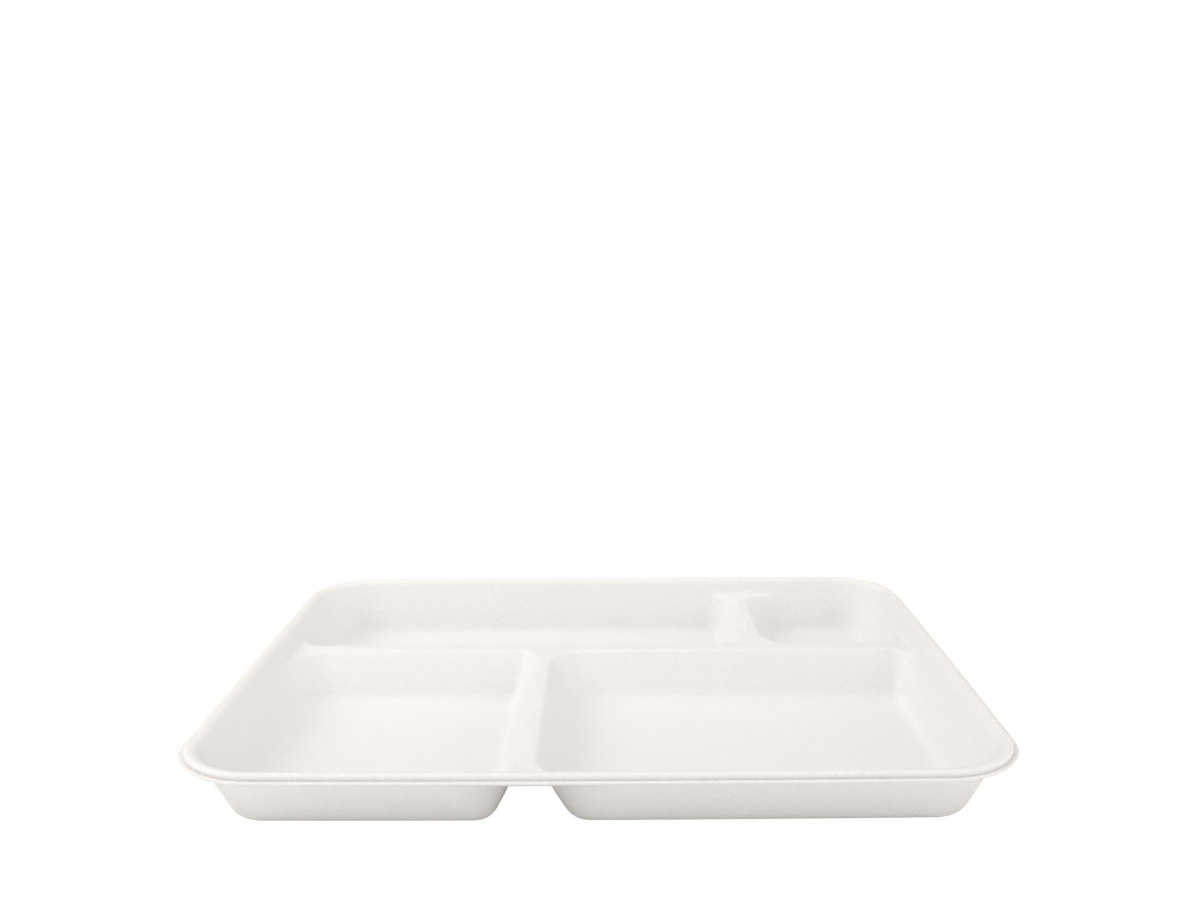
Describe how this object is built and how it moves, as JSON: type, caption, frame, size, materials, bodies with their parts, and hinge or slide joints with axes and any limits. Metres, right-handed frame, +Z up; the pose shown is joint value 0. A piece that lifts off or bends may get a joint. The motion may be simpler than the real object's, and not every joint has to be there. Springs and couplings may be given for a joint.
{
  "type": "compartment tray",
  "caption": "Shallow rectangular meal tray of moulded plant fibre, with rounded corners, a rolled rim and unequal food compartments parted by low hollow dividers.",
  "frame": {"origin": "under the middle of the tray, on the plane that it stands on", "axes": "+X along the long side, +Y from the two near compartments to the two far ones, +Z up"},
  "size_m": [0.268, 0.216, 0.023],
  "materials": {
    "moulded_fibre": "matte, hot-pressed smooth"
  },
  "bodies": {
    "root": {"tray": "moulded_fibre"}
  },
  "joints": []
}
